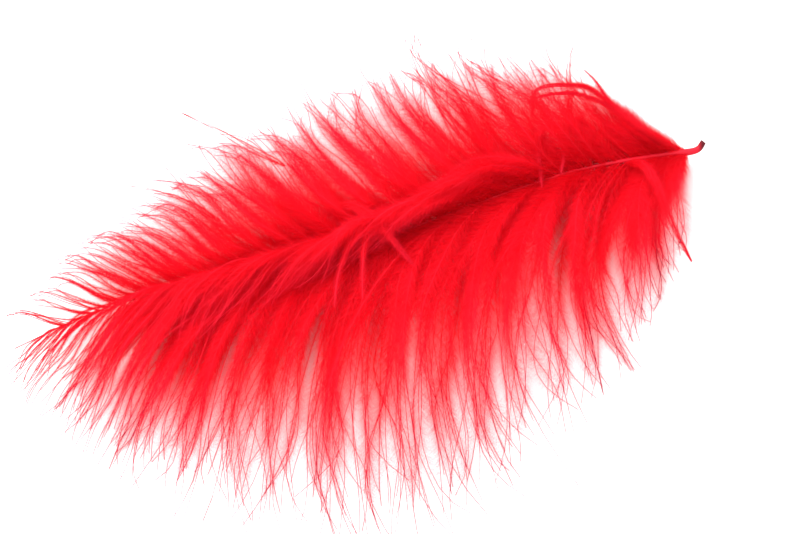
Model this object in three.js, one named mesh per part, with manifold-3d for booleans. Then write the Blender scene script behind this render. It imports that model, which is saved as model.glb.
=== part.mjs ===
// A dyed marabou feather lying on a flat surface: one horny shaft with soft down grown along both sides.
// Millimetres, +Z up. +X runs along the shaft towards the bare quill, +Y to the side with the shorter down.
// The down is grouped into locks, as it clings together on the real feather. All of it is one grown piece.
import * as THREE from "three";
import { LoftGeometry } from "three/addons/geometries/LoftGeometry.js";
import { mergeVertices } from "three/addons/utils/BufferGeometryUtils.js";
import Module from "manifold-3d";

const wasm = await Module();
wasm.setup();

// Driving sizes of the shaft
const QUILL_RADIUS = 0.65;
const QUILL_END_RADIUS = 0.55;
const SHAFT_TIP_RADIUS = 0.25;
const SHAFT_THINNING = 9;
const SHAFT_SIDES = 8;
const SHAFT_STEPS = 24;

// Driving sizes of the down
const LOCK_SIDES = 6;
const LOCK_HALF_WIDTH = 4.6;
const ROOT_HALF_WIDTH = 1.7;
const ROOT_HALF_THICKNESS = 0.5;
const LOCK_TIP_RADIUS = 0.22;
const LEAVING_SHARE = 0.38;
const ARRIVING_SHARE = 0.34;
const FULL_ARCH_LENGTH = 28;
const SHORT_LOCK_LENGTH = 27;
const SHORT_LOCK_STATIONS = [0, 0.22, 0.5, 0.8, 1];
const LONG_LOCK_STATIONS = [0, 0.16, 0.38, 0.62, 0.84, 1];
const SHORTEST_REACH = 0.86;
const LONGEST_REACH = 1.04;
const LEAST_LIFT = 0.85;
const MOST_LIFT = 1.15;
const MOST_SWAY = 9;
const SMALLEST_SIZE = 0.88;
const LARGEST_SIZE = 1.12;

// A curve between two ends stands up by three quarters of what its two handles are raised by
const HANDLE_ARCH = 4 / 3;

// The middle of the whole feather's box on the surface, which becomes the origin
const BOX_MIDDLE = new THREE.Vector3(-1.033, -11.577, 0);

// The shaft's line, from the hooked end of the quill to the tip
const shaftLine = new THREE.CatmullRomCurve3(
  [
    new THREE.Vector3(65.1, 0.3, 5.0),
    new THREE.Vector3(63.2, -0.4, 3.8),
    new THREE.Vector3(57, 0.6, 3.7),
    new THREE.Vector3(41.75, 1.3, 5.0),
    new THREE.Vector3(26.5, 0.1, 6.0),
    new THREE.Vector3(11.25, -1.6, 6.3),
    new THREE.Vector3(-4, -2.0, 6.0),
    new THREE.Vector3(-19.25, -1.5, 5.4),
    new THREE.Vector3(-34.5, -0.5, 4.3),
    new THREE.Vector3(-49.75, 0, 2.7),
    new THREE.Vector3(-65, -1.9, 0.7),
  ],
  false,
  "catmullrom",
  0.5,
);
const DOWN_FROM = 0.13;

// The down lies in layers over each other: the height at the tips of the first and of the last lock of a
// group, how far the locks arch up, and half their thickness
const LOW = { tipHeights: [0.6, 0.6], arch: -2.2, halfThickness: 1.65 };
const MIDDLE = { tipHeights: [2.6, 2], arch: 3.6, halfThickness: 1.55 };
const HIGH = { tipHeights: [4.6, 2], arch: 8.6, halfThickness: 1.7 };
const OVER = { tipHeights: [8.5, 5], arch: 5.5, halfThickness: 1.5 };
const RAISED = { tipHeights: [8, 6], arch: 4.5, halfThickness: 1.2 };

// The groups of locks, each from the quill towards the tip: the stretch of the shaft that it grows from, as
// shares of the shaft's length, and at even places along it where the longest down ends, in plan, and the
// way it leaves the shaft and points at its end, in degrees from the way to the feather's tip, and how much
// of its layer's arch it has
const FAR_SIDE = {
  way: 1,
  from: DOWN_FROM,
  to: 0.96,
  locks: 26,
  layers: [LOW, MIDDLE, HIGH],
  sizes: [1, 0.5],
  ends: [[52, 12], [44, 28], [26, 34], [6, 34], [-14, 31], [-31, 25], [-46, 17], [-57, 10], [-67, 2]],
  leaving: [38, 40, 40, 38, 34, 28, 22, 14, 6],
  arriving: [75, 96, 98, 88, 70, 48, 28, 16, 6],
  lifts: [0.8, 0.9, 1.05, 1.15, 1.15, 1.1, 1, 0.9, 0.8],
};
const NEAR_SIDE = {
  way: -1,
  from: DOWN_FROM,
  to: 0.96,
  locks: 28,
  layers: [LOW, MIDDLE, HIGH],
  sizes: [1, 0.5],
  ends: [
    [55, -18], [35, -38], [10, -53], [-10, -58], [-28, -52],
    [-45, -41], [-57, -28], [-64, -16], [-68, -6],
  ],
  leaving: [45, 34, 26, 22, 20, 20, 22, 26, 30],
  arriving: [88, 92, 90, 84, 72, 58, 46, 38, 34],
  lifts: [0.8, 1.05, 1.2, 0.8, 0.35, 0.3, 0.5, 0.8, 1],
};

// Down of the far side that is swept back over the shaft
const SWEPT_OVER = {
  way: 1,
  from: 0.33,
  to: 0.7,
  locks: 6,
  layers: [OVER],
  sizes: [0.9, 0.8],
  ends: [[12, 2], [0, -4], [-14, -8], [-27, -10], [-41, -10]],
  leaving: [30, 28, 26, 24, 20],
  arriving: [-22, -24, -26, -22, -12],
  lifts: [1, 1.1, 1.1, 1, 0.9],
};

// Tufts of the far side that stand out above the rest
const TUFTS = {
  way: 1,
  from: 0.22,
  to: 0.44,
  locks: 3,
  layers: [RAISED],
  sizes: [0.5, 0.4],
  ends: [[32, 32], [22, 34], [12, 33]],
  leaving: [52, 50, 46],
  arriving: [98, 102, 96],
  lifts: [1, 1, 1],
};

// A repeatable number from 0 to 1 for each whole number
function chance(n) {
  const wide = Math.sin(n * 127.1 + 311.7) * 43758.5453;
  return wide - Math.floor(wide);
}

// Reads a list of numbers or points at a share of its length, along a smooth curve through them
function along(list, share) {
  const points = list.map((entry) => {
    const [x, y] = Array.isArray(entry) ? entry : [entry, 0];
    return new THREE.Vector3(x, y, 0);
  });
  return new THREE.CatmullRomCurve3(points, false, "catmullrom", 0.5).getPoint(share);
}

// The level way of a heading, in degrees from the way to the feather's tip, towards one side
function levelWay(degrees, way) {
  const angle = THREE.MathUtils.degToRad(degrees);
  return new THREE.Vector3(-Math.cos(angle), way * Math.sin(angle), 0);
}

// The middle line of a lock, as a curve from the shaft's axis to the lock's tip
function lockLine(group, share, layer, { reach, lift, sway }) {
  const root = shaftLine.getPoint(THREE.MathUtils.lerp(group.from, group.to, share));
  const end = along(group.ends, share).sub(root).setZ(0).multiplyScalar(reach).add(root);
  end.z = THREE.MathUtils.lerp(...layer.tipHeights, share);
  const length = end.distanceTo(root);
  const leave = levelWay(along(group.leaving, share).x, group.way);
  const arrive = levelWay(along(group.arriving, share).x + sway, group.way);
  const height = layer.arch * lift * along(group.lifts, share).x;
  const arch = height * Math.min(1, length / FULL_ARCH_LENGTH) * HANDLE_ARCH;
  const first = root.clone().addScaledVector(leave, length * LEAVING_SHARE);
  const second = end.clone().addScaledVector(arrive, -length * ARRIVING_SHARE);
  first.z = THREE.MathUtils.lerp(root.z, end.z, 1 / 3) + arch;
  second.z = THREE.MathUtils.lerp(root.z, end.z, 2 / 3) + arch;
  return new THREE.CubicBezierCurve3(root, first, second, end);
}

// A closed skin over rings of points. A ring is an ellipse across the line, flattened on the surface below.
function skinOver(line, stations, sides) {
  const up = new THREE.Vector3(0, 0, 1);
  const rings = stations.map(({ at, halfWidth, halfThickness }) => {
    const middle = line.getPoint(at);
    const across = new THREE.Vector3().crossVectors(up, line.getTangent(at)).normalize();
    const over = new THREE.Vector3().crossVectors(line.getTangent(at), across).normalize();
    return Array.from({ length: sides }, (_, i) => {
      const turn = (i / sides) * 2 * Math.PI;
      const point = middle.clone();
      point.addScaledVector(across, Math.cos(turn) * halfWidth);
      point.addScaledVector(over, Math.sin(turn) * halfThickness);
      return point.setZ(Math.max(point.z, 0));
    });
  });
  return new LoftGeometry(rings, { capStart: true, capEnd: true });
}

// A shape as a solid that can be joined to others
function solidOf(geometry) {
  const bare = new THREE.BufferGeometry();
  bare.setAttribute("position", geometry.getAttribute("position"));
  bare.setIndex(geometry.index);
  const merged = mergeVertices(bare, 1e-4);
  const mesh = new wasm.Mesh({
    numProp: 3,
    vertProperties: merged.getAttribute("position").array,
    triVerts: new Uint32Array(merged.index.array),
  });
  return new wasm.Manifold(mesh);
}

function geometryOf(solid) {
  const { vertProperties, triVerts } = solid.getMesh();
  const geometry = new THREE.BufferGeometry();
  geometry.setAttribute("position", new THREE.BufferAttribute(new Float32Array(vertProperties), 3));
  geometry.setIndex(new THREE.BufferAttribute(new Uint32Array(triVerts), 1));
  geometry.computeVertexNormals();
  return geometry;
}

// The shaft: a bare quill with a hooked, cut end, which thins fast along the down and then slowly to the tip
function shaft() {
  const stations = Array.from({ length: SHAFT_STEPS + 1 }, (_, i) => {
    const at = i / SHAFT_STEPS;
    const bare = THREE.MathUtils.lerp(QUILL_END_RADIUS, QUILL_RADIUS, Math.min(1, at / DOWN_FROM));
    const thinned = Math.exp(-SHAFT_THINNING * Math.max(0, at - DOWN_FROM));
    const radius = THREE.MathUtils.lerp(SHAFT_TIP_RADIUS, bare, thinned);
    return { at, halfWidth: radius, halfThickness: radius };
  });
  return solidOf(skinOver(shaftLine, stations, SHAFT_SIDES));
}

// One lock of down: narrow at its root in the shaft, widest near the middle and drawn out to a point
function lock(group, number, seed) {
  const layer = group.layers[number % group.layers.length];
  const share = (number + 0.5 + 0.5 * (chance(seed) - 0.5)) / group.locks;
  const line = lockLine(group, share, layer, {
    reach: THREE.MathUtils.lerp(SHORTEST_REACH, LONGEST_REACH, chance(seed + 0.2)),
    lift: THREE.MathUtils.lerp(LEAST_LIFT, MOST_LIFT, chance(seed + 0.4)),
    sway: THREE.MathUtils.lerp(-MOST_SWAY, MOST_SWAY, chance(seed + 0.6)),
  });
  const ownSize = THREE.MathUtils.lerp(SMALLEST_SIZE, LARGEST_SIZE, chance(seed + 0.8));
  const size = THREE.MathUtils.lerp(...group.sizes, share) * ownSize;
  const short = line.v0.distanceTo(line.v3) < SHORT_LOCK_LENGTH;
  const stations = (short ? SHORT_LOCK_STATIONS : LONG_LOCK_STATIONS).map((at) => {
    const fullness = Math.pow(Math.sin(Math.PI * Math.pow(at, 0.8)), 0.75);
    const leastWidth = THREE.MathUtils.lerp(ROOT_HALF_WIDTH, LOCK_TIP_RADIUS, at);
    const leastThickness = THREE.MathUtils.lerp(ROOT_HALF_THICKNESS, LOCK_TIP_RADIUS, at);
    return {
      at,
      halfWidth: Math.max(leastWidth, LOCK_HALF_WIDTH * size * fullness),
      halfThickness: Math.max(leastThickness, layer.halfThickness * size * fullness),
    };
  });
  return solidOf(skinOver(line, stations, LOCK_SIDES));
}

// The shaft and all its locks joined in one closed body, with no sealed hollow left between the locks
function featherSolid() {
  const pieces = [shaft()];
  for (const group of [FAR_SIDE, NEAR_SIDE, SWEPT_OVER, TUFTS]) {
    for (let number = 0; number < group.locks; number++) {
      pieces.push(lock(group, number, pieces.length));
    }
  }
  const joined = wasm.Manifold.union(pieces);
  const bodies = joined.decompose().filter((body) => body.volume() > 0);
  bodies.sort((a, b) => b.volume() - a.volume());
  return bodies[0];
}

const material = new THREE.MeshStandardMaterial({
  color: new THREE.Color(0.9, 0.03, 0.08),
  roughness: 0.8,
  metalness: 0,
});
const feather = new THREE.Mesh(geometryOf(featherSolid()), material);
feather.name = "marabou_feather";
feather.position.copy(BOX_MIDDLE).negate();

const group = new THREE.Group();
group.add(feather);

export default group;
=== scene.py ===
"""The looks of a dyed marabou feather: a horny shaft and soft down, barb by barb on its solid's locks.

The feather is laid out in millimetres, as its solid is, and each mesh is moved and scaled into the frame
when it is made. Lengths are in millimetres and angles in degrees unless their name says otherwise.
"""
import math

import bpy
import numpy as np
from mathutils import Matrix, Vector


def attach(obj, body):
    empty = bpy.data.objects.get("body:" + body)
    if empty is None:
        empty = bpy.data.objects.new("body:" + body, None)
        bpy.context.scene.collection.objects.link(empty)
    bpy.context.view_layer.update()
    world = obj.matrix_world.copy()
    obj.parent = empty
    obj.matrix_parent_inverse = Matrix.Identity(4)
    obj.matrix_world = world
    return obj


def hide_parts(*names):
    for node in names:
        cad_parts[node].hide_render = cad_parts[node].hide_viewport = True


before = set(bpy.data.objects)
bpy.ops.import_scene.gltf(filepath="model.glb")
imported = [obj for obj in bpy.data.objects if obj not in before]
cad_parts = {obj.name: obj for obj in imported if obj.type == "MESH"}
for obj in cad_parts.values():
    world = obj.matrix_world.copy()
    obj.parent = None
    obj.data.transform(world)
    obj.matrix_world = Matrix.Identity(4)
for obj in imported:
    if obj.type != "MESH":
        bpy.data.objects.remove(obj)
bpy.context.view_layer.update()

NODE = "marabou_feather"
METRES = 0.001
BOX_MIDDLE = np.array([-1.033, -11.577, 0.0])
RANDOM = np.random.default_rng(64)

# The shaft's line, from the hooked end of the quill to the tip
SHAFT_LINE = np.array([
    [65.1, 0.3, 5.0],
    [63.2, -0.4, 3.8],
    [57, 0.6, 3.7],
    [41.75, 1.3, 5.0],
    [26.5, 0.1, 6.0],
    [11.25, -1.6, 6.3],
    [-4, -2.0, 6.0],
    [-19.25, -1.5, 5.4],
    [-34.5, -0.5, 4.3],
    [-49.75, 0, 2.7],
    [-65, -1.9, 0.7],
])
DOWN_FROM = 0.13
QUILL_RADIUS = 0.65
QUILL_END_RADIUS = 0.55
SHAFT_TIP_RADIUS = 0.09
SHAFT_THINNING = 5.5
SHAFT_SIDES = 14
SHAFT_STEPS = 120

# The down lies in layers over each other: the height at its tips at the quill's end and at the feather's
# tip, and how far it arches up
LAYERS = {
    "tip_heights": [[0.6, 0.6], [2.6, 2.0], [4.6, 2.0]],
    "arches": [-2.2, 3.6, 8.6],
}
OVER = {
    "tip_heights": [[8.5, 4.0]],
    "arches": [5.5],
}
RAISED = {
    "tip_heights": [[8, 6]],
    "arches": [4.5],
}

# The groups of locks, each from the quill towards the tip. A group grows from a stretch of the shaft, given
# as shares of the shaft's length. At even places along it are given: where the longest down ends, in plan;
# how much of that reach is thick down; the way the down leaves the shaft and points at its end, in degrees
# from the way to the tip; how much of its layer's arch it has (lifts), and how much of that near the root
# (rises). Of its barbs, the loose share keeps to no lock, and the rest are drawn together by clinging.
FAR_SIDE = {
    "way": 1,
    "stretch": [DOWN_FROM, 0.96],
    "locks": 26,
    "barbs_a_lock": 10,
    "first_seed": 1,
    "layers": LAYERS,
    "ends": [
        [52, 12], [44, 28], [26, 34], [6, 34], [-14, 31],
        [-31, 25], [-46, 17], [-57, 10], [-67, 2],
    ],
    "thick": [0.82, 0.68, 0.92, 1.02, 0.95, 0.9, 0.95, 1, 0.95],
    "leaving": [38, 40, 40, 38, 34, 28, 22, 14, 6],
    "arriving": [75, 96, 98, 88, 70, 48, 28, 16, 6],
    "lifts": [0.8, 0.9, 1.05, 1.15, 1.15, 1.1, 1, 0.9, 0.8],
    "rises": [1, 1],
    "loose": 0.6,
    "clinging": 0.65,
}
NEAR_SIDE = {
    "way": -1,
    "stretch": [DOWN_FROM, 0.96],
    "locks": 28,
    "barbs_a_lock": 11,
    "first_seed": 27,
    "layers": LAYERS,
    "ends": [
        [55, -18], [35, -38], [10, -53], [-10, -58], [-28, -52],
        [-45, -41], [-57, -28], [-64, -16], [-68, -6],
    ],
    "thick": [1.04, 0.95, 0.9, 0.87, 0.86, 0.86, 0.88, 0.92, 0.9],
    "leaving": [45, 34, 26, 22, 20, 20, 22, 26, 30],
    "arriving": [88, 92, 90, 84, 72, 58, 46, 38, 34],
    "lifts": [0.8, 1.05, 1.2, 0.8, 0.35, 0.3, 0.5, 0.8, 1],
    "rises": [0.3, 0.35, 0.6, 1, 1],
    "loose": 0.75,
    "clinging": 0.5,
}
SWEPT_OVER = {
    "way": 1,
    "stretch": [0.33, 0.885],
    "locks": 9,
    "barbs_a_lock": 14,
    "first_seed": 55,
    "layers": OVER,
    "ends": [[12, 2], [0, -4], [-14, -8], [-27, -10], [-41, -12], [-54, -12], [-63, -9]],
    "thick": [0.85, 0.85, 0.85, 0.88, 0.92, 0.95, 0.95],
    "leaving": [30, 28, 26, 24, 20, 14, 8],
    "arriving": [-22, -24, -26, -26, -26, -26, -24],
    "lifts": [1, 1.1, 1.1, 1, 0.9, 0.8, 0.6],
    "rises": [1, 1],
    "loose": 0.75,
    "clinging": 0.5,
}
TUFTS = {
    "way": 1,
    "stretch": [0.22, 0.44],
    "locks": 3,
    "barbs_a_lock": 9,
    "first_seed": 61,
    "layers": RAISED,
    "ends": [[32, 32], [22, 34], [12, 33]],
    "thick": [1.15, 1.15, 1.15],
    "leaving": [52, 50, 46],
    "arriving": [98, 102, 96],
    "lifts": [1, 1, 1],
    "rises": [1, 1],
    "loose": 0.15,
    "clinging": 0.85,
}

# How the locks differ from each other, by the numbers that the solid's locks are drawn with
REACH_DRAW = 0.2
LIFT_DRAW = 0.4
SWAY_DRAW = 0.6
SHORTEST_REACH = 0.86
LONGEST_REACH = 1.04
LEAST_LIFT = 0.85
MOST_LIFT = 1.15
MOST_SWAY = 9

# How the barbs of a lock differ: the place in locks, the reach and the lift as shares, and the sway
PLACE_SPREAD = 0.12
THICK_REACHES = (0.86, 1.08)
FRINGE_FALL = 1.25
BARB_LIFTS = (0.8, 1.12)
SWAY_SPREAD = 17

# Stray barbs point anywhere and carry short threads
STRAY_SHARE = 0.12
STRAY_REACHES = (0.92, 1.08)
STRAY_SWAY_SPREAD = 24
STRAY_THREAD_SIZES = (0.1, 0.5)

# Along this stretch of the shaft the down turns into the short, straighter down of the feather's tip
TIP_STRETCH = [0.59, 0.92]
TIP_SWAY = 0.35
TIP_THREAD_SIZE = 0.13
TIP_THINNING = 0.5
THINNED_FROM = 0.75

# The line of a barb: how far its curve holds each of its two ways, and how high it arches
LEAVING_SHARE = 0.38
ARRIVING_SHARE = 0.34
FULL_ARCH_LENGTH = 28
HANDLE_ARCH = 4 / 3

# The waves of a barb of the waved length: their height, how many there are, and where they begin
WAVED_LENGTH = 40
WAVE_HEIGHTS = (0.2, 2.1)
WAVE_TURNS = (0.6, 1.9)
WAVE_DRAW = 0.1
WAVE_DRAW_STEP = 0.3
WAVE_PHASE_SPREAD_RADIANS = 0.7

# Strands of down that are matted together, from root to tip: points on the line, how thick the bundle is,
# and how many barbs are in it where it isn't the usual count
MATTED_STRANDS = [
    {
        "line": [
            [59, 1.2, 4.5], [53.2, 4.5, 9.5], [48.1, 13.1, 10.5],
            [44.1, 15.5, 11], [37.9, 16.7, 10.5], [35.8, 12.6, 8.5],
        ],
        "spread": 0.5,
    },
    {
        "line": [
            [58, 1.2, 4.5], [53.8, 3.5, 8.5], [49.2, 10.1, 10],
            [44.8, 13.6, 10.5], [40.5, 15.2, 10], [37, 15.6, 9.5],
        ],
        "spread": 0.45,
    },
    {
        "line": [
            [59.5, 1, 4.2], [53.1, 4.2, 8.5], [51.1, 8.0, 9],
            [49.9, 12.8, 9], [49.2, 16.4, 8.8], [48.1, 19.4, 8.5],
        ],
        "spread": 0.16,
    },
    {
        "line": [
            [44, 6, 8], [40, 8.5, 9.5], [36.6, 9, 9.5],
            [34.6, 5.9, 8.5], [33.8, 2, 7.5], [33.2, -1.0, 6.5],
        ],
        "spread": 0.4,
    },
    {
        "line": [
            [46, 7, 8], [43.1, 9, 9.5], [41.4, 8, 9.2],
            [39.7, 5.5, 8.2], [38.6, 3, 7.3], [37.5, 0.9, 6.3],
        ],
        "spread": 0.32,
    },
    {
        "line": [
            [50, 0.3, 5], [51.9, -2.5, 8], [52.6, -6.5, 8.5],
            [53, -10.5, 7.5], [53.6, -15.5, 5.5], [54.8, -21.5, 3.5],
        ],
        "spread": 0.7,
    },
    {
        "line": [
            [41.5, 9, 8], [43.6, 14.5, 9.8],
            [45.4, 20, 9.8], [48, 25, 8],
        ],
        "spread": 0.6,
        "barbs": 3,
    },
    {
        "line": [
            [-10, 17, 6], [-15, 21, 8],
            [-19.5, 26, 8.4], [-25.4, 32, 8],
        ],
        "spread": 0.7,
        "barbs": 3,
    },
    {
        "line": [
            [-24, 10, 5], [-29, 14, 7],
            [-33, 17, 8], [-38, 20, 8],
        ],
        "spread": 0.6,
        "barbs": 2,
    },
    {
        "line": [
            [-6, 4, 8], [-2, 3.5, 10.5], [1.3, 0.4, 11],
            [3, -3.6, 10.6], [4.6, -7.3, 10], [6.2, -11, 9.2],
        ],
        "spread": 0.75,
    },
    {
        "line": [
            [4, 4, 8], [1, 2, 10.5], [-2, -1.6, 10.8],
            [-5, -5.5, 10.2], [-7.6, -9.4, 9.4], [-9.3, -13.6, 8.4],
        ],
        "spread": 0.2,
    },
    {
        "line": [
            [3, 3, 8], [1.4, 0.6, 10.5], [-0.6, -3.3, 10.6],
            [-2, -6.5, 10.2], [-3.2, -10, 9.6], [-4.3, -14, 8.8],
        ],
        "spread": 0.14,
    },
]
STRAND_BARBS = 9
STRAND_SKEW = 0.7
STRAND_BULGE = 0.6
STRAND_END_SPREAD = 0.15
STRAND_FLATNESS = 0.7
TURN_BETWEEN_BARBS_RADIANS = 2.4
STRAND_TWIST_RADIANS = 3
STRAND_TWIST_SPREAD_RADIANS = 0.5

# The barbs, which carry the down
BARB_STEPS = 16
BARB_SIDES = 3
BARB_ROOT_RADIUS = 0.08
BARB_TIP_RADIUS = 0.055
BARB_TAPER = 0.7
BARB_CLEARANCE = 0.1

# The barbules, the finest threads: they are long, wide and close together at the inner end of a barb, and
# short, fine and further apart at its outer end
INNER_BARBULE_LEAN = 33
OUTER_BARBULE_LEAN = 56
LEAN_GROWTH = 1.5
LEAN_SPREAD = 7
INNER_BARBULE_LENGTH = 4.1
OUTER_BARBULE_LENGTH = 1.8
LENGTH_FALL = 1.3
BARBULE_LENGTH_SHARES = (0.75, 1.1)
SHORT_ROOT_BARBULE = 0.35
SHORT_ROOT_SHARE = 0.08
INNER_BARBULE_WIDTH = 0.05
OUTER_BARBULE_WIDTH = 0.012
OUTER_THINNING = 0.8
THINNING_STEPS = 200
BARB_ROLL_SPREAD_RADIANS = 0.3
BARBULE_ROLL_SPREAD_RADIANS = 0.4
BARBULE_DROOP = 0.1
BARBULE_CLEARANCE = 0.02

# How long the barbules of a group are beside those of the two sides, and how many triangles a piece has
SWEPT_THREAD_SIZE = 0.8
TUFT_THREAD_SIZE = 0.7
STRAND_THREAD_SIZE = 0.4
TRIANGLES_A_PIECE = 160_000
SWEPT_TRIANGLES = 88_000
TUFT_TRIANGLES = 18_000
STRAND_TRIANGLES = 44_000

# The flat map: each barb has a column, with its length going up, and its threads lie beside it
MAP_NAME = "OFBake"
CORNERS = np.array([[0, 0], [1, 0], [1, 1], [0, 1]])
BARB_MAP_WIDTH = 0.4
THREAD_MAP_PLACES = np.array([0.5, 0.9, 0.7])
THREAD_MAP_HEIGHT = 0.03
SHAFT_MAP_SIZE = 0.9
SHAFT_MAP_START = 0.08
CAP_MAP = [[0, 0], [0.05, 0], [0.02, 0.05]]

# The dye, from dull to bright, a painted shade at the barbs' roots that darkens the shadowed valley along
# the shaft, and another tone at the ends of the barbs
# Painted shade: a darker red at the barbs' roots, standing in for the shadow in the valley along the shaft
ROOT_PAINTED_SHADE = (0.87, 0.003, 0.018)
BARB_DYE = {
    "deep": (0.8, 0.005, 0.026),
    "light": (0.9, 0.01, 0.04),
    "tip": (0.42, 0.005, 0.05),
    "through": 0.3,
}
DOWN_DYE = {
    "deep": (0.92, 0.005, 0.026),
    "light": (0.97, 0.012, 0.044),
    "tip": (0.97, 0.02, 0.07),
    "through": 0.55,
}
MATTED_DYE = {
    "deep": (0.85, 0.005, 0.028),
    "light": (0.95, 0.01, 0.04),
    "tip": (0.9, 0.01, 0.042),
    "through": 0.4,
}
DYE_PATCH_SCALE = 60
DYE_PATCH_DETAIL = 5
DEEP_UP_TO = 0.35
LIGHT_FROM = 0.65
# Where along each barb the painted root shade fades out, and where the tip tone grows
ROOT_PAINTED_SHADE_FADES = (0.3, 0.05)
TIP_SHADE_GROWS = (0.55, 0.95)
DOWN_ROUGHNESS = 0.6
HORN_RED = (0.6, 0.006, 0.022, 1)
CUT_END_BROWN = (0.1, 0.004, 0.01, 1)
STAIN_FROM = 63.6
STAIN_TO = 64.6
HORN_ROUGHNESS = 0.5
SPECULAR = 0.2

# The white surface and the even studio light round it, in metres and watts
FLOOR_REACH = 3.0
FLOOR_WHITE = (0.97, 0.97, 0.97, 1)
FLOOR_ROUGHNESS = 0.9
FLOOR_SPECULAR = 0.1
WORLD_WHITE = (1, 1, 1, 1)
WORLD_STRENGTH = 1.3
SOFTBOX_PLACE = (-0.25, 0.3, 0.6)
SOFTBOX_SIZE = 0.5
SOFTBOX_POWER = 6

# The camera stands as the photographer did: this far from a point on the surface, looking down on it
CAMERA_AZIMUTH = math.radians(-16.73)
CAMERA_ELEVATION = math.radians(64)
CAMERA_DISTANCE = 341.7
CAMERA_TARGET = np.array([4.94, -5.82, 0])
CAMERA_LENS = 85
CAMERA_CLIP_METRES = 0.01
SENSOR_WIDTH = 36


def chance(n):
    """A repeatable number from 0 to 1 for each number, the same as the solid's locks are made with."""
    wide = np.sin(np.asarray(n) * 127.1 + 311.7) * 43758.5453
    return wide - np.floor(wide)


def lerp(a, b, share):
    return a + (b - a) * share


def along(points, share):
    """Reads a smooth curve through evenly counted points at a share of its length."""
    points = np.asarray(points, float)
    if points.ndim == 1:
        return along(points[:, None], share)[..., 0]
    padded = np.vstack([2 * points[0] - points[1], points, 2 * points[-1] - points[-2]])
    spans = len(points) - 1
    at = np.clip(share, 0, 1) * spans
    first = np.minimum(at.astype(int), spans - 1)
    a, b, c, d = (padded[first + k] for k in range(4))
    w = (at - first)[..., None]
    square = (2 * a - 5 * b + 4 * c - d) * w**2
    cube = (3 * b - a - 3 * c + d) * w**3
    return 0.5 * (2 * b + (c - a) * w + square + cube)


def unit(vectors):
    return vectors / np.linalg.norm(vectors, axis=-1, keepdims=True)


def level_way(degrees, way):
    angle = np.radians(degrees)
    return np.stack([-np.cos(angle), way * np.sin(angle), np.zeros_like(angle)], axis=-1)


def cling(ends, lock_size, hold):
    """Draws the ends of a lock's barbs together sideways, and leaves how far they reach as it is."""
    locks = ends.reshape(-1, lock_size, ends.shape[1])
    middle = locks.mean(axis=1, keepdims=True)
    return lerp(locks, middle, hold.reshape(-1, lock_size, 1)).reshape(ends.shape)


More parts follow.
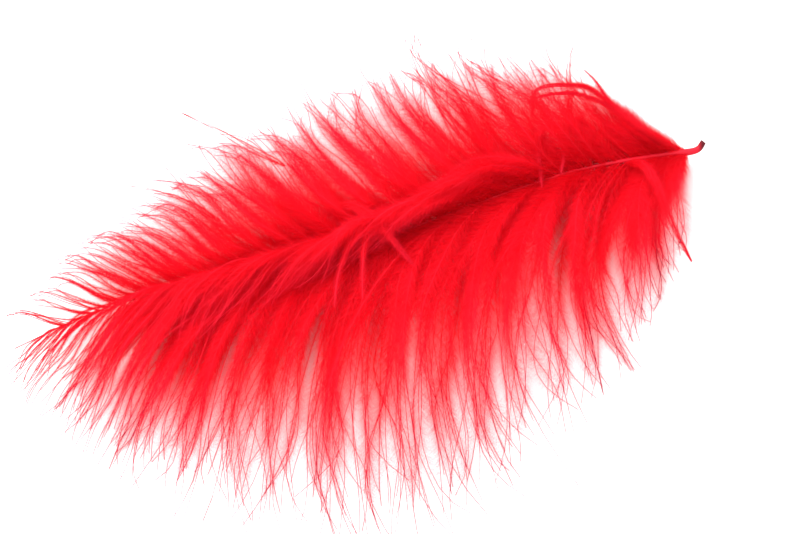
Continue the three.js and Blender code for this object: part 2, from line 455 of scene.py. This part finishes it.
def barbs_of(group):
    """The paths of a group's barbs, from the quill to the tip, and how long each one's threads are."""
    each = group["barbs_a_lock"]
    count = group["locks"] * each
    lock = np.arange(count) // each
    share = (np.arange(count) + 0.5 + RANDOM.normal(0, PLACE_SPREAD * each, count)) / count
    share = np.clip(share, 0, 1)
    loose = RANDOM.uniform(0, 1, count) < group["loose"]

    def lock_chance(step):
        return np.where(loose, RANDOM.uniform(0, 1, count), chance(group["first_seed"] + lock + step))

    # Where it lies in the pile
    top = len(group["layers"]["arches"]) - 1
    pile = RANDOM.uniform(0, 1, count) * top
    layer_numbers = np.arange(top + 1)
    quill_end_heights, tip_end_heights = (
        np.interp(pile, layer_numbers, heights) for heights in np.transpose(group["layers"]["tip_heights"])
    )
    tip_height = lerp(quill_end_heights, tip_end_heights, share)

    # How far it reaches: most barbs end where the thick down does, and a few run out to the fringe
    thick = along(group["thick"], share)
    reach = lerp(SHORTEST_REACH, LONGEST_REACH, lock_chance(REACH_DRAW))
    thick = thick * RANDOM.uniform(*THICK_REACHES, count)
    reach *= lerp(thick, 1, RANDOM.uniform(0, 1, count) ** FRINGE_FALL)
    lift = lerp(LEAST_LIFT, MOST_LIFT, lock_chance(LIFT_DRAW)) * RANDOM.uniform(*BARB_LIFTS, count)
    sway = lerp(-MOST_SWAY, MOST_SWAY, lock_chance(SWAY_DRAW)) + RANDOM.normal(0, SWAY_SPREAD, count)
    near_tip = np.interp(lerp(*group["stretch"], share), TIP_STRETCH, [0, 1])
    sway *= lerp(1, TIP_SWAY, near_tip)
    stray = RANDOM.uniform(0, 1, count) < STRAY_SHARE
    reach = np.where(stray, RANDOM.uniform(*STRAY_REACHES, count), reach)
    sway = np.where(stray, RANDOM.normal(0, STRAY_SWAY_SPREAD, count), sway)

    root = along(SHAFT_LINE, lerp(*group["stretch"], share))
    end = root[:, :2] + (along(group["ends"], share) - root[:, :2]) * reach[:, None]
    hold = np.where(loose, 0, group["clinging"] * (1 - near_tip))
    end = np.column_stack([cling(end, each, hold), tip_height])
    length = np.linalg.norm(end - root, axis=1)
    leave = level_way(along(group["leaving"], share), group["way"])
    arrive = level_way(along(group["arriving"], share) + sway, group["way"])
    arch = np.interp(pile, layer_numbers, group["layers"]["arches"]) * along(group["lifts"], share)
    arch = arch * lift * np.minimum(1, length / FULL_ARCH_LENGTH) * HANDLE_ARCH
    first = root + leave * (length * LEAVING_SHARE)[:, None]
    second = end - arrive * (length * ARRIVING_SHARE)[:, None]
    first[:, 2] = lerp(root[:, 2], end[:, 2], 1 / 3) + arch * along(group["rises"], share)
    second[:, 2] = lerp(root[:, 2], end[:, 2], 2 / 3) + arch
    t = np.linspace(0, 1, BARB_STEPS + 1)
    paths = bezier(np.stack([root, first, second, end], axis=1), t)

    # Each barb waves a little, more towards its end, and much as its lock does
    for axis in range(3):
        waves = RANDOM.uniform(*WAVE_HEIGHTS, count) * length / WAVED_LENGTH
        turns = RANDOM.uniform(*WAVE_TURNS, count)
        phase = 2 * math.pi * lock_chance(WAVE_DRAW + WAVE_DRAW_STEP * axis)
        phase += RANDOM.normal(0, WAVE_PHASE_SPREAD_RADIANS, count)
        wave = np.sin(2 * math.pi * turns[:, None] * t + phase[:, None]) - np.sin(phase)[:, None]
        paths[:, :, axis] += waves[:, None] * wave * t

    # Fewer barbs near the feather's tip, and shorter threads there and on stray barbs
    thinned = np.clip((share - THINNED_FROM) / (1 - THINNED_FROM), 0, 1)
    kept = RANDOM.uniform(0, 1, count) > TIP_THINNING * thinned
    size = lerp(1, TIP_THREAD_SIZE, near_tip)
    size = size * np.where(stray, RANDOM.uniform(*STRAY_THREAD_SIZES, count), 1)
    return lie_on_surface(paths[kept], BARB_CLEARANCE), size[kept]


def strand_barbs():
    """The barbs of the matted strands, wound loosely round each line and drawn together at its ends."""
    t = np.linspace(0, 1, BARB_STEPS + 1)
    paths = []
    for strand in MATTED_STRANDS:
        line = along(strand["line"], t)
        _, across, over = frames_along(line[None])
        fullness = lerp(STRAND_END_SPREAD, 1, np.sin(math.pi * t**STRAND_SKEW) ** STRAND_BULGE)
        barbs = strand.get("barbs", STRAND_BARBS)
        for number in range(barbs):
            start = RANDOM.uniform(-STRAND_TWIST_SPREAD_RADIANS, STRAND_TWIST_SPREAD_RADIANS)
            angle = number * TURN_BETWEEN_BARBS_RADIANS + STRAND_TWIST_RADIANS * t + start
            off = strand["spread"] * math.sqrt((number + 0.5) / barbs) * fullness
            sideways = (off * np.cos(angle))[:, None] * across[0]
            upwards = (STRAND_FLATNESS * off * np.sin(angle))[:, None] * over[0]
            paths.append(line + sideways + upwards)
    return np.array(paths)


def bezier(control, t):
    weights = np.stack([(1 - t) ** 3, 3 * (1 - t) ** 2 * t, 3 * (1 - t) * t**2, t**3], axis=-1)
    return np.einsum("tk,bkx->btx", weights, control)


def lie_on_surface(points, clearance):
    """Nothing reaches below the surface that the feather lies on."""
    points[..., 2] = np.maximum(points[..., 2], clearance)
    return points


def frames_along(paths):
    """The direction of each path at each point, the level way across it and the way over it."""
    ahead = unit(np.gradient(paths, axis=1))
    across = unit(np.cross([0, 0, 1], ahead))
    return ahead, across, np.cross(ahead, across)


def tubes(paths, radii, sides):
    """Open tubes along paths of equal counts: vertices and quads."""
    _, across, over = frames_along(paths)
    turn = np.arange(sides) / sides * 2 * math.pi
    ring = np.cos(turn)[:, None] * across[:, :, None] + np.sin(turn)[:, None] * over[:, :, None]
    vertices = paths[:, :, None] + ring * radii[..., None, None]
    number, rings = paths.shape[:2]
    start = (np.arange(number) * rings * sides)[:, None, None]
    ring_start = (np.arange(rings - 1) * sides)[None, :, None]
    a = np.arange(sides)[None, None, :]
    b = (a + 1) % sides
    quads = np.stack([
        start + ring_start + a,
        start + ring_start + b,
        start + ring_start + sides + b,
        start + ring_start + sides + a,
    ], axis=-1)
    return vertices.reshape(-1, 3), quads.reshape(-1, 4)


def barbules_on(paths, count, size):
    """Fine threads in even rows on both sides of every barb: thin triangles, and each one's barb and
    place on it."""
    ahead, across, over = frames_along(paths)
    lengths = np.linalg.norm(np.diff(paths, axis=1), axis=2).sum(axis=1)
    ends = np.rint(np.cumsum(lengths) / lengths.sum() * count).astype(int)
    number = np.diff(ends, prepend=0)
    barb = np.repeat(np.arange(len(paths)), number)
    order = np.arange(count) - np.repeat(ends - number, number)
    # The rows thin out towards the tip of the barb
    grid = np.linspace(0, 1, THINNING_STEPS)
    passed = (grid - OUTER_THINNING * grid**3 / 3) / (1 - OUTER_THINNING / 3)
    place = np.interp((order + RANDOM.uniform(0, 1, count)) / number[barb], passed, grid)
    at = place * BARB_STEPS
    low = np.minimum(at.astype(int), BARB_STEPS - 1)
    w = (at - low)[:, None]

    def read(values):
        return lerp(values[barb, low], values[barb, low + 1], w)

    def of_barb(spread):
        return RANDOM.normal(0, spread, len(paths))[barb]

    root, way, wide, high = read(paths), unit(read(ahead)), unit(read(across)), unit(read(over))
    hand = np.where(order % 2 == 0, -1, 1)
    roll = of_barb(BARB_ROLL_SPREAD_RADIANS) + RANDOM.normal(0, BARBULE_ROLL_SPREAD_RADIANS, count)
    lean = lerp(INNER_BARBULE_LEAN, OUTER_BARBULE_LEAN, place**LEAN_GROWTH)
    lean = np.radians(lean + of_barb(LEAN_SPREAD) + RANDOM.normal(0, LEAN_SPREAD, count))
    out = (hand * np.cos(roll))[:, None] * wide + np.sin(roll)[:, None] * high
    way = np.cos(lean)[:, None] * way + np.sin(lean)[:, None] * out
    length = lerp(INNER_BARBULE_LENGTH, OUTER_BARBULE_LENGTH, place**LENGTH_FALL) * size[barb]
    grown = np.clip(SHORT_ROOT_BARBULE + place / SHORT_ROOT_SHARE, 0, 1)
    length *= RANDOM.uniform(*BARBULE_LENGTH_SHARES, count) * grown
    tip = root + way * length[:, None]
    tip[:, 2] -= BARBULE_DROOP * length * RANDOM.uniform(0, 1, count)
    flat = unit(np.cross(way, RANDOM.normal(0, 1, (count, 3))))
    half = flat * (lerp(INNER_BARBULE_WIDTH, OUTER_BARBULE_WIDTH, place) / 2)[:, None]
    vertices = np.stack([root - half, root + half, tip], axis=1)
    return lie_on_surface(vertices, BARBULE_CLEARANCE).reshape(-1, 3), barb, place


def mesh_object(name, vertices, faces, slots, materials, uv):
    """A mesh in the frame. faces is a list of index arrays, and slots has the material slot of each."""
    mesh = bpy.data.meshes.new(name)
    corners = np.concatenate([f.ravel() for f in faces]).astype(np.int32)
    sizes = np.concatenate([np.full(len(f), f.shape[1]) for f in faces]).astype(np.int32)
    starts = np.concatenate([[0], np.cumsum(sizes)[:-1]]).astype(np.int32)
    face_slots = np.repeat(slots, [len(f) for f in faces]).astype(np.int32)
    mesh.vertices.add(len(vertices))
    mesh.vertices.foreach_set("co", ((vertices - BOX_MIDDLE) * METRES).astype(np.float32).ravel())
    mesh.loops.add(len(corners))
    mesh.loops.foreach_set("vertex_index", corners)
    mesh.polygons.add(len(sizes))
    mesh.polygons.foreach_set("loop_start", starts)
    mesh.polygons.foreach_set("loop_total", sizes)
    mesh.polygons.foreach_set("material_index", face_slots)
    layer = mesh.uv_layers.new(name=MAP_NAME)
    layer.uv.foreach_set("vector", uv.astype(np.float32).ravel())
    for material in materials:
        mesh.materials.append(material)
    mesh.update(calc_edges=True)
    mesh.validate()
    obj = bpy.data.objects.new(name, mesh)
    bpy.context.scene.collection.objects.link(obj)
    return obj


def new_material(name):
    material = bpy.data.materials.new(name)
    material.use_nodes = True
    nodes = material.node_tree.nodes
    return material, nodes, material.node_tree.links, nodes["Principled BSDF"]


def down_material(name, dye):
    """Dyed down that lets light through: the dye is uneven, painted shade darkens the barbs' roots, and
    their ends take another tone.
    """
    material, nodes, links, surface = new_material(name)
    noise = nodes.new("ShaderNodeTexNoise")
    place = nodes.new("ShaderNodeTexCoord")
    links.new(place.outputs["Object"], noise.inputs["Vector"])
    noise.inputs["Scale"].default_value = DYE_PATCH_SCALE
    noise.inputs["Detail"].default_value = DYE_PATCH_DETAIL
    ramp = nodes.new("ShaderNodeValToRGB")
    ramp.color_ramp.elements[0].position = DEEP_UP_TO
    ramp.color_ramp.elements[0].color = (*dye["deep"], 1)
    ramp.color_ramp.elements[1].position = LIGHT_FROM
    ramp.color_ramp.elements[1].color = (*dye["light"], 1)
    links.new(noise.outputs["Fac"], ramp.inputs["Fac"])
    flat_map = nodes.new("ShaderNodeUVMap")
    flat_map.uv_map = MAP_NAME
    split = nodes.new("ShaderNodeSeparateXYZ")
    links.new(flat_map.outputs["UV"], split.inputs["Vector"])
    colour = ramp.outputs["Color"]
    # The roots are darkened with painted shade towards the shaft, and the ends take the tip tone
    for (first, last), shade in ((ROOT_PAINTED_SHADE_FADES, ROOT_PAINTED_SHADE), (TIP_SHADE_GROWS, dye["tip"])):
        stretch = nodes.new("ShaderNodeMapRange")
        stretch.inputs["From Min"].default_value = first
        stretch.inputs["From Max"].default_value = last
        links.new(split.outputs["Y"], stretch.inputs["Value"])
        mix = nodes.new("ShaderNodeMix")
        mix.data_type = "RGBA"
        links.new(stretch.outputs["Result"], mix.inputs["Factor"])
        links.new(colour, mix.inputs["A"])
        mix.inputs["B"].default_value = (*shade, 1)
        colour = mix.outputs["Result"]
    links.new(colour, surface.inputs["Base Color"])
    surface.inputs["Roughness"].default_value = DOWN_ROUGHNESS
    surface.inputs["Specular IOR Level"].default_value = SPECULAR
    shine = nodes.new("ShaderNodeBsdfTranslucent")
    links.new(colour, shine.inputs["Color"])
    mix = nodes.new("ShaderNodeMixShader")
    mix.inputs["Fac"].default_value = dye["through"]
    links.new(surface.outputs["BSDF"], mix.inputs[1])
    links.new(shine.outputs["BSDF"], mix.inputs[2])
    links.new(mix.outputs["Shader"], nodes["Material Output"].inputs["Surface"])
    return material


def shaft_material():
    """Dyed horn, with the cut end stained dark."""
    material, nodes, links, surface = new_material("shaft_horn")
    place = nodes.new("ShaderNodeTexCoord")
    split = nodes.new("ShaderNodeSeparateXYZ")
    links.new(place.outputs["Object"], split.inputs["Vector"])
    end = nodes.new("ShaderNodeMapRange")
    end.inputs["From Min"].default_value = (STAIN_FROM - BOX_MIDDLE[0]) * METRES
    end.inputs["From Max"].default_value = (STAIN_TO - BOX_MIDDLE[0]) * METRES
    links.new(split.outputs["X"], end.inputs["Value"])
    ramp = nodes.new("ShaderNodeValToRGB")
    ramp.color_ramp.elements[0].color = HORN_RED
    ramp.color_ramp.elements[1].color = CUT_END_BROWN
    links.new(end.outputs["Result"], ramp.inputs["Fac"])
    links.new(ramp.outputs["Color"], surface.inputs["Base Color"])
    surface.inputs["Roughness"].default_value = HORN_ROUGHNESS
    surface.inputs["Specular IOR Level"].default_value = SPECULAR
    return material


def make_shaft(material):
    """The bare quill with its hooked end, thinning fast along the down and then slowly to the tip."""
    at = np.linspace(0, 1, SHAFT_STEPS + 1)
    path = along(SHAFT_LINE, at)[None]
    bare = lerp(QUILL_END_RADIUS, QUILL_RADIUS, np.minimum(1, at / DOWN_FROM))
    radii = lerp(SHAFT_TIP_RADIUS, bare, np.exp(-SHAFT_THINNING * np.maximum(0, at - DOWN_FROM)))[None]
    vertices, quads = tubes(path, radii, SHAFT_SIDES)
    last = len(vertices)
    vertices = np.vstack([vertices, path[0, 0], path[0, -1]])
    a = np.arange(SHAFT_SIDES)
    b = (a + 1) % SHAFT_SIDES
    last_ring = SHAFT_STEPS * SHAFT_SIDES
    near_cap = np.column_stack([b, a, np.full(SHAFT_SIDES, last)])
    far_cap = np.column_stack([last_ring + a, last_ring + b, np.full(SHAFT_SIDES, last + 1)])
    caps = np.vstack([near_cap, far_cap])
    row = np.repeat(np.arange(SHAFT_STEPS), SHAFT_SIDES) / SHAFT_STEPS
    column = np.tile(a, SHAFT_STEPS) / SHAFT_SIDES
    tube_uv = np.stack([
        column[:, None] + CORNERS[:, 0] / SHAFT_SIDES,
        row[:, None] + CORNERS[:, 1] / SHAFT_STEPS,
    ], axis=-1).reshape(-1, 2)
    cap_uv = np.tile(CAP_MAP, (2 * SHAFT_SIDES, 1))
    uv = np.vstack([tube_uv * SHAFT_MAP_SIZE + SHAFT_MAP_START, cap_uv])
    piece = mesh_object("shaft", vertices, [quads, caps], [0, 0], [material], uv)
    piece.data.shade_smooth()
    return piece


def make_down(name, paths, size, triangles, materials):
    """A stretch of down: its barbs, and as many barbules as the piece can hold."""
    number = len(paths)
    radii = lerp(BARB_ROOT_RADIUS, BARB_TIP_RADIUS, np.linspace(0, 1, BARB_STEPS + 1) ** BARB_TAPER)
    barb_vertices, barb_quads = tubes(paths, np.tile(radii, (number, 1)), BARB_SIDES)
    barbules = triangles - 2 * len(barb_quads)
    thread_vertices, barb, place = barbules_on(paths, barbules, size)
    threads = np.arange(3 * barbules).reshape(-1, 3) + len(barb_vertices)
    column_width = 1 / number
    column = np.repeat(np.arange(number), BARB_STEPS * BARB_SIDES) * column_width
    row = np.tile(np.repeat(np.arange(BARB_STEPS), BARB_SIDES), number) / BARB_STEPS
    side_width = BARB_MAP_WIDTH / BARB_SIDES
    left = np.tile(np.arange(BARB_SIDES), number * BARB_STEPS) * side_width
    barb_uv = np.stack([
        column[:, None] + (left[:, None] + CORNERS[:, 0] * side_width) * column_width,
        row[:, None] + CORNERS[:, 1] / BARB_STEPS,
    ], axis=-1).reshape(-1, 2)
    thread_u = (barb[:, None] + THREAD_MAP_PLACES) * column_width
    thread_v = np.clip(place[:, None] * (1 - THREAD_MAP_HEIGHT) + [0, 0, THREAD_MAP_HEIGHT], 0, 1)
    thread_uv = np.stack([thread_u, thread_v], axis=-1).reshape(-1, 2)
    return mesh_object(
        name,
        np.vstack([barb_vertices, thread_vertices]),
        [barb_quads, threads],
        [0, 1],
        materials,
        np.vstack([barb_uv, thread_uv]),
    )


def make_floor():
    reach = FLOOR_REACH
    mesh = bpy.data.meshes.new("floor")
    corners = [(-reach, -reach, 0), (reach, -reach, 0), (reach, reach, 0), (-reach, reach, 0)]
    mesh.from_pydata(corners, [], [(0, 1, 2, 3)])
    floor = bpy.data.objects.new("floor", mesh)
    bpy.context.scene.collection.objects.link(floor)
    material, _, _, surface = new_material("floor_white")
    surface.inputs["Base Color"].default_value = FLOOR_WHITE
    surface.inputs["Roughness"].default_value = FLOOR_ROUGHNESS
    surface.inputs["Specular IOR Level"].default_value = FLOOR_SPECULAR
    mesh.materials.append(material)


def make_camera():
    data = bpy.data.cameras.new("camera")
    data.lens = CAMERA_LENS
    data.sensor_width = SENSOR_WIDTH
    data.clip_start = CAMERA_CLIP_METRES
    camera = bpy.data.objects.new("camera", data)
    right = Vector((math.cos(CAMERA_AZIMUTH), math.sin(CAMERA_AZIMUTH), 0))
    level = Vector((math.sin(CAMERA_AZIMUTH), -math.cos(CAMERA_AZIMUTH), 0))
    back = level * math.cos(CAMERA_ELEVATION) + Vector((0, 0, math.sin(CAMERA_ELEVATION)))
    place = Vector((CAMERA_TARGET - BOX_MIDDLE) * METRES) + back * CAMERA_DISTANCE * METRES
    turned = Matrix((right, back.cross(right), back)).transposed()
    camera.matrix_world = Matrix.Translation(place) @ turned.to_4x4()
    bpy.context.scene.collection.objects.link(camera)
    bpy.context.scene.camera = camera


def make_light():
    """A bright, even studio: white from all round, and a large soft light above and behind on the left."""
    world = bpy.data.worlds.new("studio")
    world.use_nodes = True
    world.node_tree.nodes["Background"].inputs["Color"].default_value = WORLD_WHITE
    world.node_tree.nodes["Background"].inputs["Strength"].default_value = WORLD_STRENGTH
    bpy.context.scene.world = world
    data = bpy.data.lights.new("softbox", "AREA")
    data.shape = "DISK"
    data.size = SOFTBOX_SIZE
    data.energy = SOFTBOX_POWER
    lamp = bpy.data.objects.new("softbox", data)
    lamp.location = SOFTBOX_PLACE
    lamp.rotation_euler = Vector(lamp.location).to_track_quat("Z", "Y").to_euler()
    bpy.context.scene.collection.objects.link(lamp)
    bpy.context.scene.view_settings.view_transform = "Standard"


def add_piece(piece):
    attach(piece, "root")
    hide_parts(NODE)


make_camera()
make_light()
make_floor()

barb_look = down_material("barb_dye", BARB_DYE)
down_look = down_material("down_dye", DOWN_DYE)
matted_look = down_material("matted_dye", MATTED_DYE)
looks = [barb_look, down_look]
even_looks = [matted_look, down_look]
add_piece(make_shaft(shaft_material()))
sides = [
    (FAR_SIDE, ("far_down_quill_end", "far_down_tip_end")),
    (NEAR_SIDE, ("near_down_quill_end", "near_down_middle", "near_down_tip_end")),
]
for group, names in sides:
    barbs, size = barbs_of(group)
    for name, part in zip(names, np.array_split(np.arange(len(barbs)), len(names))):
        add_piece(make_down(name, barbs[part], size[part], TRIANGLES_A_PIECE, looks))
swept, size = barbs_of(SWEPT_OVER)
add_piece(make_down("swept_down", swept, size * SWEPT_THREAD_SIZE, SWEPT_TRIANGLES, even_looks))
tufts, size = barbs_of(TUFTS)
add_piece(make_down("far_tufts", tufts, size * TUFT_THREAD_SIZE, TUFT_TRIANGLES, looks))
strands = strand_barbs()
strand_size = np.full(len(strands), STRAND_THREAD_SIZE)
add_piece(make_down("matted_strands", strands, strand_size, STRAND_TRIANGLES, even_looks))
